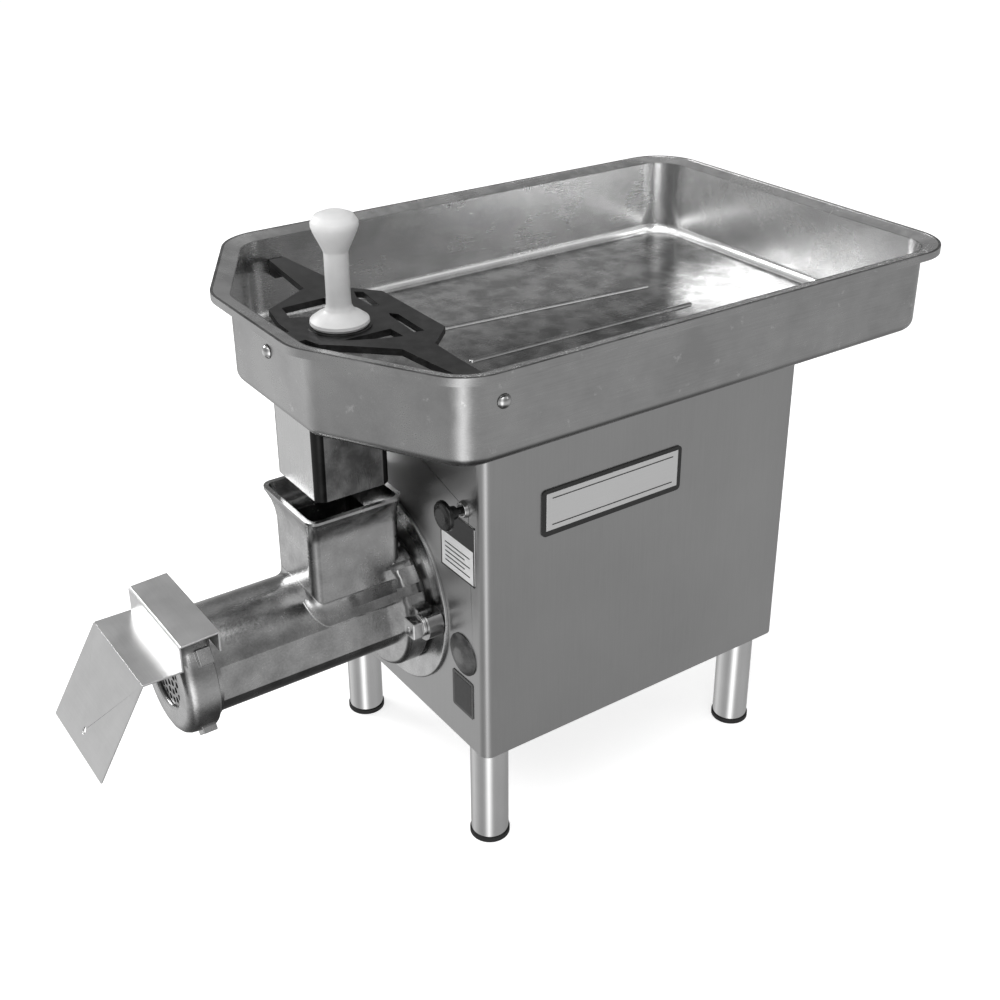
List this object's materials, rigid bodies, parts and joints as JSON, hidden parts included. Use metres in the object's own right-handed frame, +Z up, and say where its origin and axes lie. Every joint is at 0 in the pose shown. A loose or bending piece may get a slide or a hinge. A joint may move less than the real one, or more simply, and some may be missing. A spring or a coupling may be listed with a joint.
{
  "type": "electric meat grinder",
  "caption": "Countertop electric meat grinder: boxed stainless housing on tube legs, feed tray with guard and pusher, grinding head with ring and sheet outlet deflector.",
  "frame": {"origin": "centre of the bounding box on the floor plane, under the machine", "axes": "+Z up, outlet toward -Y, switch and nameplate on the +X side"},
  "size_m": [0.4824, 0.9382, 0.687],
  "materials": {
    "sheet_steel": "brushed stainless sheet",
    "cast_steel": "polished stainless casting",
    "tray_steel": "brushed stainless sheet, brighter inside",
    "tube_steel": "polished tube",
    "bright_steel": "polished",
    "machined_steel": "machined",
    "case_casting": "painted casting",
    "motor_paint": "satin paint",
    "guard_metal": "matt cast",
    "black_rubber": "matt",
    "black_plastic": "gloss",
    "grey_plastic": "matt",
    "white_plastic": "satin",
    "plate_enamel": "satin with dark border",
    "label_film": "printed film",
    "label_grey": "printed film"
  },
  "bodies": {
    "base": {"housing_shell": "sheet_steel", "housing_top": "sheet_steel", "base_plate": "sheet_steel", "leg_fl": "tube_steel", "leg_fr": "tube_steel", "leg_rl": "tube_steel", "leg_rr": "tube_steel", "foot_fl": "black_rubber", "foot_fr": "black_rubber", "foot_rl": "black_rubber", "foot_rr": "black_rubber", "leg_bolts": "machined_steel", "nameplate": "plate_enamel", "control_label": "label_film", "lower_label": "label_grey", "hole_plug": "sheet_steel", "front_flange": "bright_steel", "gear_case": "case_casting", "gear_case_cover": "case_casting", "case_bolts": "machined_steel", "front_bearing": "machined_steel", "rear_bearing": "machined_steel", "shaft_seal": "black_rubber", "motor_frame": "motor_paint", "motor_front_bell": "motor_paint", "motor_rear_bell": "motor_paint", "motor_cradle": "motor_paint", "relay_box": "grey_plastic", "run_capacitor": "machined_steel", "switch_body": "black_plastic", "switch_nut": "bright_steel", "rear_panel": "sheet_steel", "panel_screws": "machined_steel", "cord_gland": "black_plastic", "tray_rests": "black_rubber"},
    "drive": {"output_shaft": "machined_steel", "main_gear": "machined_steel", "gear_key": "machined_steel"},
    "rotor": {"motor_shaft": "machined_steel", "motor_rotor": "machined_steel", "motor_pinion": "machined_steel", "motor_fan": "black_plastic"},
    "head": {"cylinder": "cast_steel", "cutting_plate": "machined_steel"},
    "feed_screw": {"worm": "cast_steel", "knife": "machined_steel"},
    "ring": {"adjusting_ring": "cast_steel"},
    "spout": {"deflector": "sheet_steel"},
    "clamp_right": {"lock_bolt_r": "bright_steel"},
    "clamp_left": {"lock_bolt_l": "bright_steel"},
    "tray_set": {"tray": "tray_steel", "feed_chute": "tray_steel", "finger_guard": "guard_metal", "guard_bolts": "bright_steel"},
    "stomper": {"pusher": "white_plastic"},
    "switch": {"switch_knob": "black_plastic"}
  },
  "joints": [
    {"name": "drive_spin", "type": "hinge", "parent": "base", "child": "drive", "pos_m": [0, -0.1081, 0.252], "axis": [0, 1, 0], "continuous": true},
    {"name": "motor_spin", "type": "hinge", "parent": "base", "child": "rotor", "pos_m": [0, 0.0919, 0.364], "axis": [0, 1, 0], "continuous": true},
    {"name": "head_slide", "type": "slide", "parent": "base", "child": "head", "axis": [0, -1, 0], "range_m": [0, 0.25]},
    {"name": "worm_spin", "type": "hinge", "parent": "head", "child": "feed_screw", "pos_m": [0, -0.2581, 0.252], "axis": [0, 1, 0], "continuous": true},
    {"name": "ring_turn", "type": "hinge", "parent": "head", "child": "ring", "pos_m": [0, -0.3631, 0.252], "axis": [0, -1, 0], "range_deg": [0, 180]},
    {"name": "spout_lift", "type": "slide", "parent": "ring", "child": "spout", "axis": [0, 0, 1], "range_m": [0, 0.08]},
    {"name": "clamp_right_turn", "type": "hinge", "parent": "head", "child": "clamp_right", "pos_m": [0.092, -0.1181, 0.265], "axis": [0, -1, 0], "range_deg": [0, 340]},
    {"name": "clamp_left_turn", "type": "hinge", "parent": "head", "child": "clamp_left", "pos_m": [-0.092, -0.1181, 0.265], "axis": [0, -1, 0], "range_deg": [0, 340]},
    {"name": "tray_lift", "type": "slide", "parent": "base", "child": "tray_set", "axis": [0, 0, 1], "range_m": [0, 0.15]},
    {"name": "pusher_lift", "type": "slide", "parent": "tray_set", "child": "stomper", "axis": [0, 0, 1], "range_m": [0, 0.2]},
    {"name": "switch_pull", "type": "slide", "parent": "base", "child": "switch", "axis": [0, -1, 0], "range_m": [0, 0.006]}
  ],
  "couplings": [
    {"joint": "motor_spin", "follows": "drive_spin", "ratio": -5.2222},
    {"joint": "worm_spin", "follows": "drive_spin", "ratio": 1}
  ]
}
